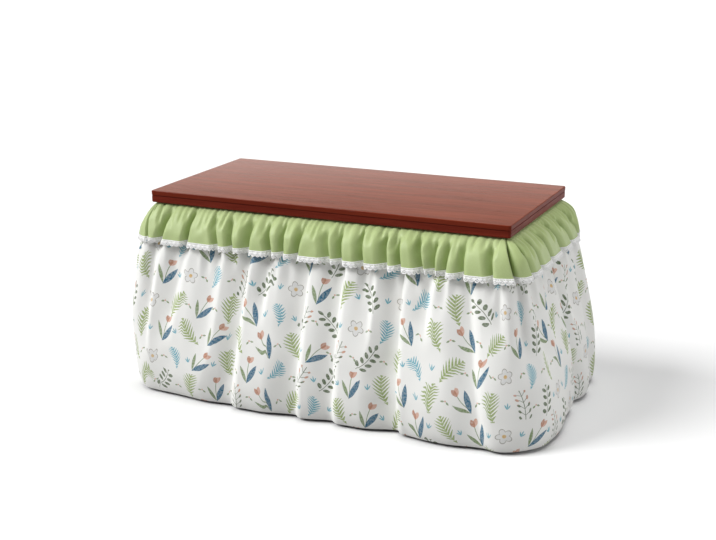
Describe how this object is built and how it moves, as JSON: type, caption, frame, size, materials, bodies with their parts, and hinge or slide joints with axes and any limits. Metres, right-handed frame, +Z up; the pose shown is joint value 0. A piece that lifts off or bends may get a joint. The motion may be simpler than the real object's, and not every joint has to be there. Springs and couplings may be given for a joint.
{
  "type": "heated low table with gathered cover",
  "caption": "Heated table with a glossy lift-off board, a wooden frame, a heater under the board and a gathered floor-length cloth cover with a frill.",
  "frame": {"origin": "on the floor under the middle of the table", "axes": "+X along the long side, +Y to the back, +Z up; the heater's controls face -Y"},
  "size_m": [1.4875, 0.8591, 0.66],
  "materials": {
    "lacquer": "clear high-gloss lacquer over red-brown wood",
    "plain_wood": "planed, unfinished",
    "rubber": "matt",
    "frame_wood": "satin varnish",
    "zinc_steel": "zinc-plated, dull",
    "foot_plastic": "moulded, matt",
    "heater_enamel": "baked enamel, satin",
    "bright_sheet": "polished",
    "quartz": "clear tube",
    "element_metal": "oxidised wire coil",
    "ceramic": "glazed ceramic",
    "guard_wire": "heat-proof black paint, satin",
    "motor_steel": "plain steel",
    "black_plastic": "moulded, fine texture",
    "switch_plastic": "moulded, glossy",
    "amber_lens": "tinted, clear",
    "skirt_cloth": "white cotton with a scattered botanical print",
    "frill_cloth": "plain leaf-green cotton, light sheen",
    "lace": "white cotton lace with a scalloped edge",
    "elastic": "woven elastic"
  },
  "bodies": {
    "frame": {"top_pads": "rubber", "leg_front_left": "frame_wood", "leg_front_right": "frame_wood", "leg_back_right": "frame_wood", "leg_back_left": "frame_wood", "rail_front": "frame_wood", "rail_right": "frame_wood", "rail_back": "frame_wood", "rail_left": "frame_wood", "heater_rail_left": "frame_wood", "heater_rail_right": "frame_wood", "lower_rail_left": "frame_wood", "lower_rail_right": "frame_wood", "foot_slat_1": "frame_wood", "foot_slat_2": "frame_wood", "foot_slat_3": "frame_wood", "foot_slat_4": "frame_wood", "corner_brackets": "zinc_steel", "hanger_bolts": "zinc_steel", "wing_nuts": "zinc_steel", "wood_screws": "zinc_steel", "tee_nuts": "zinc_steel", "heater_housing": "heater_enamel", "heater_reflector": "bright_sheet", "heater_tube_front": "quartz", "heater_tube_back": "quartz", "heating_elements": "element_metal", "tube_holders": "ceramic", "heater_grille": "guard_wire", "fan_motor": "motor_steel", "thermostat": "black_plastic", "switch_bezel": "switch_plastic", "pilot_lens": "amber_lens", "power_inlet": "black_plastic"},
    "cover": {"skirt_front": "skirt_cloth", "skirt_right": "skirt_cloth", "skirt_back": "skirt_cloth", "skirt_left": "skirt_cloth", "frill_front": "frill_cloth", "frill_right": "frill_cloth", "frill_back": "frill_cloth", "frill_left": "frill_cloth", "lace_trim": "lace", "waist_elastic": "elastic"},
    "top": {"top_panel": "lacquer", "top_edge_front": "lacquer", "top_edge_right": "lacquer", "top_edge_back": "lacquer", "top_edge_left": "lacquer", "top_battens": "plain_wood"},
    "knob": {"control_knob": "black_plastic", "thermostat_spindle": "motor_steel"},
    "rocker": {"rocker_switch": "switch_plastic"},
    "fan": {"fan_impeller": "black_plastic", "fan_shaft": "motor_steel"},
    "foot_front_left": {"foot_front_left": "foot_plastic"},
    "foot_front_right": {"foot_front_right": "foot_plastic"},
    "foot_back_right": {"foot_back_right": "foot_plastic"},
    "foot_back_left": {"foot_back_left": "foot_plastic"}
  },
  "joints": [
    {"name": "cover_lift", "type": "slide", "parent": "frame", "child": "cover", "axis": [0, 0, 1], "range_m": [0, 0.68]},
    {"name": "top_lift", "type": "slide", "parent": "cover", "child": "top", "axis": [0, 0, 1], "range_m": [0, 0.15]},
    {"name": "knob_turn", "type": "hinge", "parent": "frame", "child": "knob", "pos_m": [-0.072, -0.15, 0.551], "axis": [0, -1, 0], "range_deg": [0, 270]},
    {"name": "rocker_press", "type": "hinge", "parent": "frame", "child": "rocker", "pos_m": [0.02, -0.15, 0.551], "axis": [-1, 0, 0], "range_deg": [0, 20]},
    {"name": "fan_spin", "type": "hinge", "parent": "frame", "child": "fan", "pos_m": [0, 0.104, 0.55], "axis": [0, 0, 1], "continuous": true},
    {"name": "foot_front_left_screw", "type": "slide", "parent": "frame", "child": "foot_front_left", "axis": [0, 0, -1], "range_m": [0, 0.01]},
    {"name": "foot_front_right_screw", "type": "slide", "parent": "frame", "child": "foot_front_right", "axis": [0, 0, -1], "range_m": [0, 0.01]},
    {"name": "foot_back_right_screw", "type": "slide", "parent": "frame", "child": "foot_back_right", "axis": [0, 0, -1], "range_m": [0, 0.01]},
    {"name": "foot_back_left_screw", "type": "slide", "parent": "frame", "child": "foot_back_left", "axis": [0, 0, -1], "range_m": [0, 0.01]}
  ]
}
